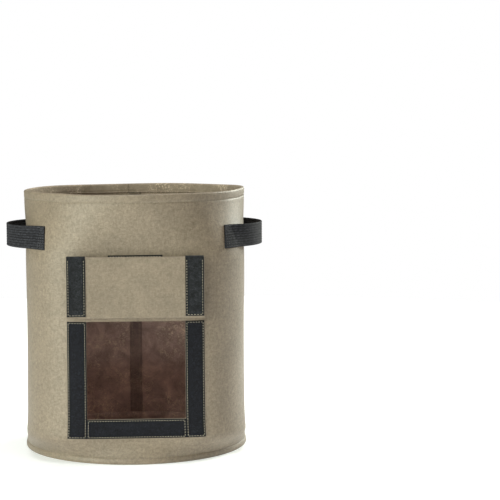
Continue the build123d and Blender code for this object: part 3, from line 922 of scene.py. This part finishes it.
def handle_rows(side, section):
    """The webbing's rows of section points, front sewn end first, and each row's distance along the strap."""
    level = sum(HANDLE[2]) / 2
    middle_y = sum(HANDLE[1]) / 2
    reach = HANDLE[0][1] - WEBBING_HALF
    sagitta = reach - HANDLE_ROOT
    ring = (HANDLE_ROOT_HALF**2 + sagitta**2) / (2 * sagitta)
    across, out = section[:, 0], section[:, 1]
    t = np.linspace(0.05, 0.45, 1601)
    sewn = []
    for end in (-1, 1):
        from_t, to_t = [], []
        for height in level + across:
            plan = surface(t, height, WEBBING_HALF)
            past = end * (plan[:, 1] - middle_y)
            kept = t[(plan[:, 0] >= HANDLE_TIP) & (past > HANDLE_ROOT_HALF + 7)]
            from_t.append(kept[0])
            to_t.append(kept[-1])
        places = np.linspace(from_t, to_t, 30)
        sewn.append(surface(places, level + across, WEBBING_HALF + out))
    angle = np.linspace(-1, 1, 60)[:, None] * math.asin((HANDLE_ROOT_HALF - 8) / ring)
    arm = ring + out[None, :]
    height = np.broadcast_to(level + across, arm.shape)
    loop = [reach - ring + arm * np.cos(angle), middle_y + arm * np.sin(angle), np.repeat(height, 60, axis=0)]
    rows = np.concatenate([sewn[0], np.stack(loop, axis=-1), sewn[1]])
    sewn_to, sewn_from = len(sewn[0]), len(rows) - len(sewn[1])
    along = np.concatenate([[0], np.cumsum(np.linalg.norm(np.diff(rows.mean(axis=1), axis=0), axis=1))])
    places = np.linspace(0, along[-1], 220)
    after = np.clip(np.searchsorted(along, places), 1, len(along) - 1)
    share = ((places - along[after - 1]) / (along[after] - along[after - 1]))[:, None, None]
    even = rows[after - 1] * (1 - share) + rows[after] * share
    fixed = (places < along[sewn_to] - 9) | (places > along[sewn_from] + 9)
    for _ in range(60):
        eased = even.copy()
        eased[1:-1] = (even[:-2] + even[1:-1] * 2 + even[2:]) / 4
        even = np.where(fixed[:, None, None], even, eased)
    return even * [side, 1, 1], places


def handle_section():
    """The webbing's cross-section as (across, out) points: ribs on both faces, rounded selvages."""
    half, ribs = (HANDLE[2][1] - HANDLE[2][0]) / 2, 9
    across = np.linspace(-WEBBING_ACROSS, WEBBING_ACROSS, ribs * 6 + 1)
    rib = np.abs(np.sin(np.pi * ribs * (across + half) / (2 * half))) ** 0.6
    face = 0.5 + 0.42 * rib
    front = list(zip(across, face))
    back = list(zip(across[::-1], -face[::-1]))
    return np.array([(-half, 0.0), *front, (half, 0.0), *back])


def strap(name, side):
    """One handle's webbing, swept along its line, with its rows for placing thread."""
    section = handle_section()
    rows, places = handle_rows(side, section)
    n, m = rows.shape[:2]
    faces = []
    for i in range(n - 1):
        for j in range(m):
            k = (j + 1) % m
            quad = (i * m + j, i * m + k, (i + 1) * m + k, (i + 1) * m + j)
            faces.append(quad[::-1] if side > 0 else quad)
    faces.append(tuple(range(m)) if side > 0 else tuple(range(m - 1, -1, -1)))
    last = tuple((n - 1) * m + j for j in range(m))
    faces.append(last[::-1] if side > 0 else last)
    made = make(name, rows, faces, [webbing], sharp=50)
    # How far each section point stands out on its rib, stored as the rib attribute. The webbing uses it to
    # paint shade in the grooves and a highlight on the crests.
    crest_for_painted_shade = np.clip((np.abs(section[:, 1]) - 0.5) / 0.42, 0, 1)
    rib = made.data.attributes.new("rib", "FLOAT", "POINT")
    rib.data.foreach_set("value", np.tile(crest_for_painted_shade, n).astype(np.float32))
    return made, rows, places


def on_strap(rows, places, distance, height):
    """A point on the webbing's outer face, at a distance from one end and a height from its middle, and the
    way out from it there."""
    count = (rows.shape[1] - 2) // 2
    row = [[np.interp(distance, places, rows[:, j, k]) for k in range(3)] for j in range(rows.shape[1])]
    row = np.array(row)
    face, other = row[1 : count + 1], row[: count + 1 : -1]
    across = np.linspace(-1, 1, count) * WEBBING_ACROSS
    point = np.array([np.interp(height, across, face[:, k]) for k in range(3)])
    behind = np.array([np.interp(height, across, other[:count, k]) for k in range(3)])
    return point, point - behind


def strap_seam(rows, places, start, end, count=12):
    """A run for stitches() between two (distance, height) places on the webbing."""
    spots = [
        on_strap(rows, places, *(a + (b - a) * share for a, b in zip(start, end)))
        for share in np.linspace(0, 1, count)
    ]
    return np.array([point for point, _ in spots]), np.array([way for _, way in spots])


for side_name, side in (("left", -1), ("right", 1)):
    piece, rows, places = strap(f"handle_webbing_{side_name}", side)
    body = f"handle_{side_name}"
    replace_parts(piece, f"{body}_front_end", f"{body}_loop", f"{body}_rear_end")
    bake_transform(piece)
    runs = []
    for ordered in (rows, rows[::-1]):
        for distance in (2.6, 6.2, 9.8):
            for k in range(9):
                lean = 0.9 if k % 2 else -0.9
                ends = (distance - lean, 3.0 * k - 13.5), (distance + lean, 3.0 * k - 10.5)
                runs.append(strap_seam(ordered, places, *ends, count=3))
        for height in (-13.2, 13.2):
            runs.append(strap_seam(ordered, places, (12.5, height), (21, height)))
    name = f"handle_stitches_{side_name}"
    threads = stitches(name, runs, dark_thread, pitch=2.9, length=2.6, width=0.5, proud=0.25)
    finish_piece(threads, "webbing_thread", [f"{body}_stitching"], ("bag",))

# ---- floor, light and camera ---------------------------
floor_material, floor_tree, floor_shader = principled("floor_pale", 0.9, specular=0.1)
grain = noise(floor_tree, coords(floor_tree), 8, 2, 0.5)
floor_tone = ramp(floor_tree, grain, [(0.3, (0.9, 0.9, 0.895)), (0.7, (0.93, 0.93, 0.925))])
floor_tree.links.new(floor_tone, floor_shader.inputs["Base Color"])
floor_shader.inputs["Emission Color"].default_value = (0.85, 0.93, 1.0, 1)
floor_shader.inputs["Emission Strength"].default_value = 0.26
FLOOR_REACH = 1700
around = np.radians(np.arange(96) * 3.75)
disc = np.stack([FLOOR_REACH * np.sin(around), -FLOOR_REACH * np.cos(around), 0 * around], axis=1)
floor = make("floor", disc, [tuple(range(96))], [floor_material])
floor.location.z = -0.0002

world = bpy.data.worlds.new("studio")
bpy.context.scene.world = world
world.use_nodes = True
nodes, links = world.node_tree.nodes, world.node_tree.links
background = nodes["Background"]
background.inputs["Color"].default_value = (1.0, 0.88, 0.8, 1)
background.inputs["Strength"].default_value = 0.08
seen = nodes.new("ShaderNodeBackground")
seen.inputs["Color"].default_value = (1.0, 1.0, 1.0, 1)
seen.inputs["Strength"].default_value = 1.0
path = nodes.new("ShaderNodeLightPath")
both = nodes.new("ShaderNodeMixShader")
links.new(path.outputs["Is Camera Ray"], both.inputs[0])
links.new(background.outputs[0], both.inputs[1])
links.new(seen.outputs[0], both.inputs[2])
links.new(both.outputs[0], nodes["World Output"].inputs["Surface"])


def soft_light(name, place, target, size, power, colour):
    """A square studio light aimed at target, in metres and watts."""
    data = bpy.data.lights.new(name, "AREA")
    data.shape = "SQUARE"
    data.size = size
    data.energy = power
    data.color = colour
    lamp = bpy.data.objects.new(name, data)
    lamp.location = place
    aim = Vector(target) - Vector(place)
    lamp.rotation_euler = aim.to_track_quat("-Z", "Y").to_euler()
    bpy.context.collection.objects.link(lamp)


soft_light("key", (-1.45, -2.5, 2.1), (0, 0, 0.18), 1.4, 56, (0.94, 1.0, 0.9))
soft_light("side", (-2.28, -1.92, 0.5), (0, 0, 0.2), 0.8, 56, (0.92, 1.0, 0.88))
soft_light("rim", (2.2, 1.75, 1.3), (0, 0, 0.18), 1.2, 116, (0.96, 1.0, 0.9))
soft_light("fill", (-0.3, -3.6, 0.62), (0, 0, 0.15), 1.2, 6, (1.0, 0.86, 0.76))
soft_light("top", (0, 0, 4.4), (0, 0, 0.2), 2.6, 124, (1.0, 0.985, 0.97))

camera_data = bpy.data.cameras.new("camera")
camera_data.sensor_width = 36
camera_data.lens = 118.38
camera = bpy.data.objects.new("camera", camera_data)
camera.location = (0.0, -2.2523, 0.4686)
camera.rotation_euler = (math.radians(84.83), math.radians(0.18), math.radians(-4.03))
bpy.context.collection.objects.link(camera)
bpy.context.scene.camera = camera
bpy.context.scene.view_settings.view_transform = "Standard"
